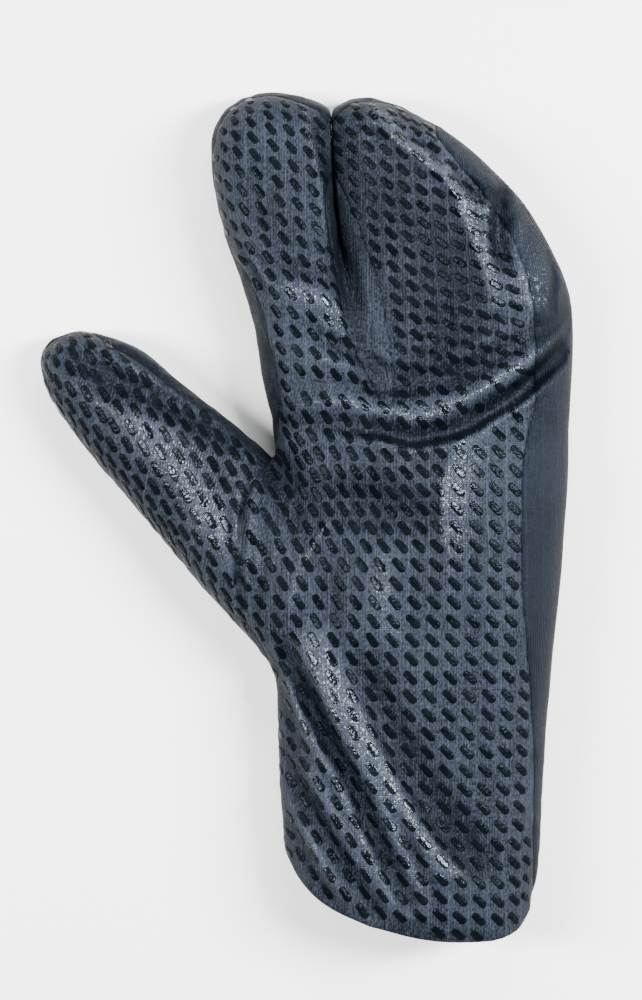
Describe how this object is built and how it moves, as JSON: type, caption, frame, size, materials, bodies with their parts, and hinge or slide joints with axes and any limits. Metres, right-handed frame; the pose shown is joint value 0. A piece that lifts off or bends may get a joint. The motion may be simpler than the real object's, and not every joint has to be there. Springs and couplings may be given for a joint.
{
  "type": "lobster overmitt",
  "caption": "Left-hand shell mitt of thin stretch fabric with two wide finger lobes, a splayed thumb and a close cuff, lying palm up; panels sewn round an open hand space.",
  "frame": {"origin": "middle of the mitt's outline seen from above, on the ground that its back lies on", "axes": "+Y from the cuff to the fingertips, -X towards the thumb, +Z out of the palm"},
  "size_m": [0.1836, 0.2888, 0.0417],
  "materials": {
    "printed_fabric": "fine ribbed stretch knit under small glossy grip dashes",
    "plain_fabric": "fine ribbed stretch knit, matt"
  },
  "bodies": {
    "root": {"palm_panel": "printed_fabric", "thumb_front_panel": "printed_fabric", "back_panel": "plain_fabric", "thumb_back_panel": "plain_fabric", "lobe_gusset": "plain_fabric"}
  },
  "joints": []
}
